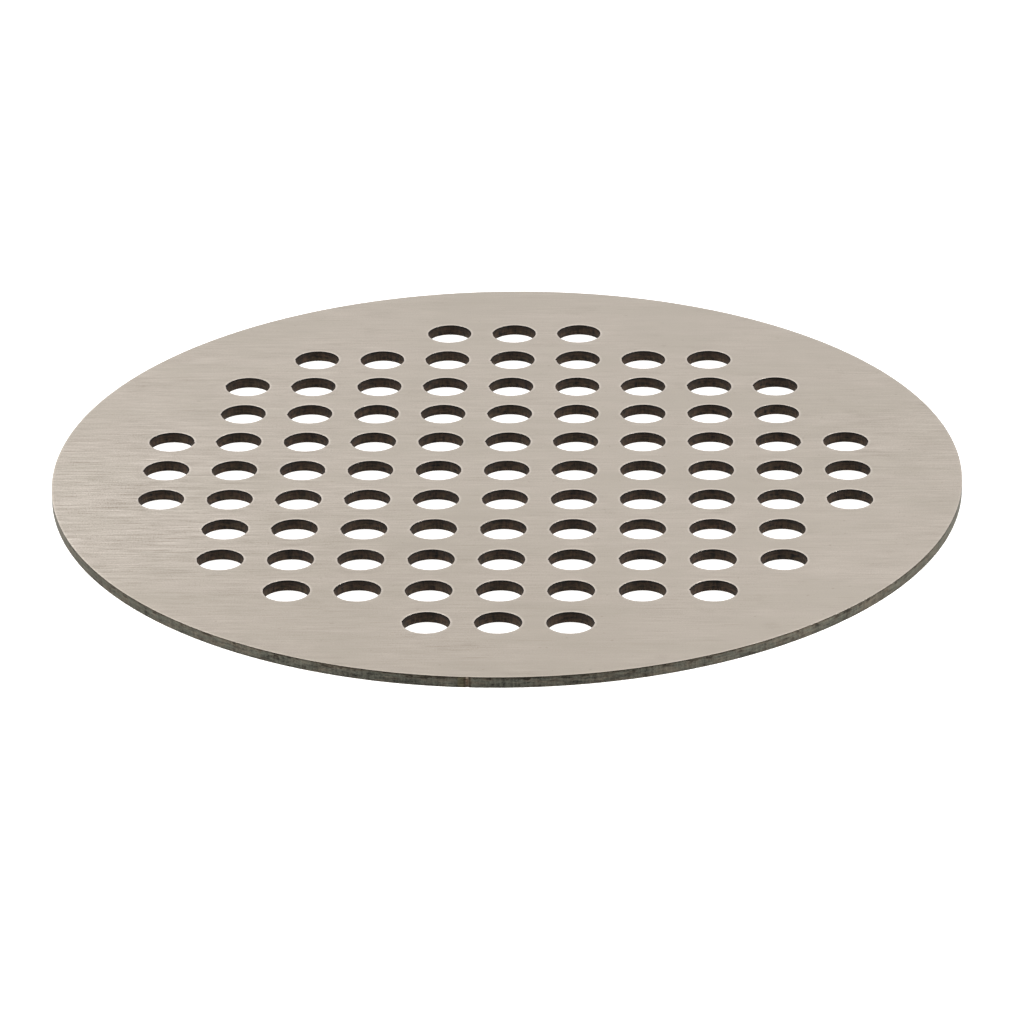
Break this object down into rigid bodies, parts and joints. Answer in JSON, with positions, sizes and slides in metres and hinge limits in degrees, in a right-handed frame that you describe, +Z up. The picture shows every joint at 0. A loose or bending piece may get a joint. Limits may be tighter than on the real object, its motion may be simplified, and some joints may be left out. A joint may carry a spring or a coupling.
{
  "type": "floor drain grate",
  "caption": "Round flat stainless steel floor drain grate: a drop-in sheet metal disc with a square grid of round drain holes inside a plain rim band.",
  "frame": {"origin": "centre of the disc's underside", "axes": "+Z up, out of the top face; +X along the brushing and one row of the hole grid; +Y along the other row of the grid"},
  "size_m": [0.127, 0.127, 0.0016],
  "materials": {
    "brushed_stainless": "satin, brushed in one direction along X"
  },
  "bodies": {
    "root": {"grate_plate": "brushed_stainless"}
  },
  "joints": []
}
